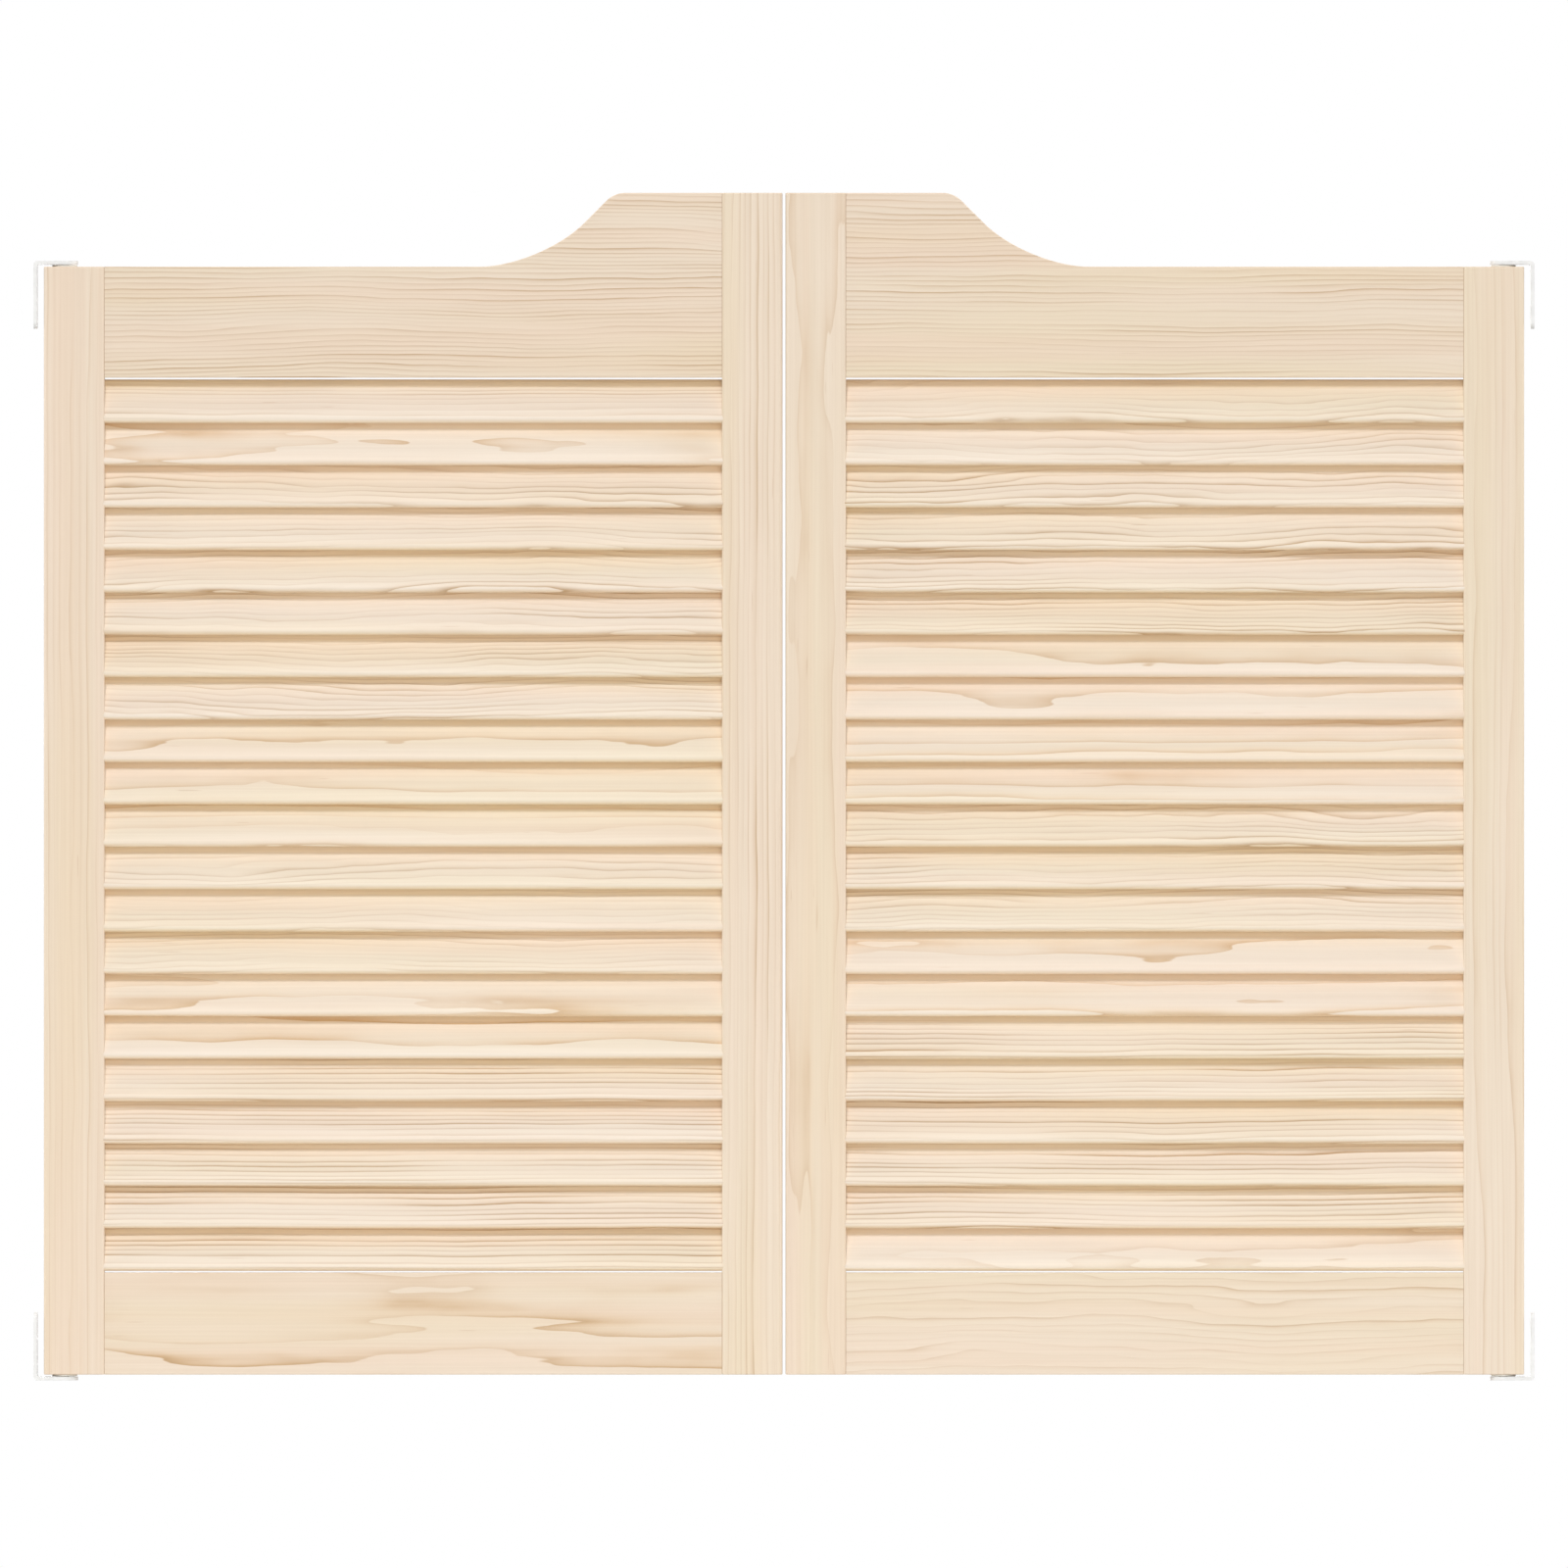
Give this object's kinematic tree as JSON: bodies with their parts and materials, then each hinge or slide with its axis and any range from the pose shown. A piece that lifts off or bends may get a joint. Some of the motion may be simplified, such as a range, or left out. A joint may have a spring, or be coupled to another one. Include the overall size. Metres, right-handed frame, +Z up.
{
  "type": "cafe swinging doors",
  "caption": "Pair of louvred pine swing doors with tall meeting stiles and swept top rails, on sprung end pivots that let both leaves swing both ways.",
  "frame": {"origin": "bottom centre: in the middle of the meeting gap, in the mid-plane of the closed leaves, under the lower jamb brackets", "axes": "+Z up, +X to the right across the doorway, -Y out of the front faces, where the slats' lower edges are"},
  "size_m": [1.016, 0.02, 0.804],
  "materials": {
    "frame_wood": "planed and sanded bare pine",
    "slat_wood": "planed and sanded bare pine",
    "coated_steel": "white powder coat",
    "nylon": "moulded",
    "spring_steel": "drawn wire"
  },
  "bodies": {
    "jamb_brackets": {"left_lower_bracket": "coated_steel", "left_upper_bracket": "coated_steel", "right_lower_bracket": "coated_steel", "right_upper_bracket": "coated_steel"},
    "left_leaf": {"left_hinge_stile": "frame_wood", "left_meeting_stile": "frame_wood", "left_top_rail": "frame_wood", "left_bottom_rail": "frame_wood", "left_slat_01": "slat_wood", "left_slat_02": "slat_wood", "left_slat_03": "slat_wood", "left_slat_04": "slat_wood", "left_slat_05": "slat_wood", "left_slat_06": "slat_wood", "left_slat_07": "slat_wood", "left_slat_08": "slat_wood", "left_slat_09": "slat_wood", "left_slat_10": "slat_wood", "left_slat_11": "slat_wood", "left_slat_12": "slat_wood", "left_slat_13": "slat_wood", "left_slat_14": "slat_wood", "left_slat_15": "slat_wood", "left_slat_16": "slat_wood", "left_slat_17": "slat_wood", "left_slat_18": "slat_wood", "left_slat_19": "slat_wood", "left_slat_20": "slat_wood", "left_slat_21": "slat_wood", "left_lower_bush": "nylon", "left_upper_bush": "nylon", "left_return_spring": "spring_steel"},
    "right_leaf": {"right_hinge_stile": "frame_wood", "right_meeting_stile": "frame_wood", "right_top_rail": "frame_wood", "right_bottom_rail": "frame_wood", "right_slat_01": "slat_wood", "right_slat_02": "slat_wood", "right_slat_03": "slat_wood", "right_slat_04": "slat_wood", "right_slat_05": "slat_wood", "right_slat_06": "slat_wood", "right_slat_07": "slat_wood", "right_slat_08": "slat_wood", "right_slat_09": "slat_wood", "right_slat_10": "slat_wood", "right_slat_11": "slat_wood", "right_slat_12": "slat_wood", "right_slat_13": "slat_wood", "right_slat_14": "slat_wood", "right_slat_15": "slat_wood", "right_slat_16": "slat_wood", "right_slat_17": "slat_wood", "right_slat_18": "slat_wood", "right_slat_19": "slat_wood", "right_slat_20": "slat_wood", "right_slat_21": "slat_wood", "right_lower_bush": "nylon", "right_upper_bush": "nylon", "right_return_spring": "spring_steel"}
  },
  "joints": [
    {"name": "left_swing", "type": "hinge", "parent": "jamb_brackets", "child": "left_leaf", "pos_m": [-0.487, 0, 0.4], "axis": [0, 0, 1], "range_deg": [-90, 90], "stiffness_Nm_per_rad": 0.6, "deforming": ["left_return_spring"]},
    {"name": "right_swing", "type": "hinge", "parent": "jamb_brackets", "child": "right_leaf", "pos_m": [0.487, 0, 0.4], "axis": [0, 0, -1], "range_deg": [-90, 90], "stiffness_Nm_per_rad": 0.6, "deforming": ["right_return_spring"]}
  ]
}
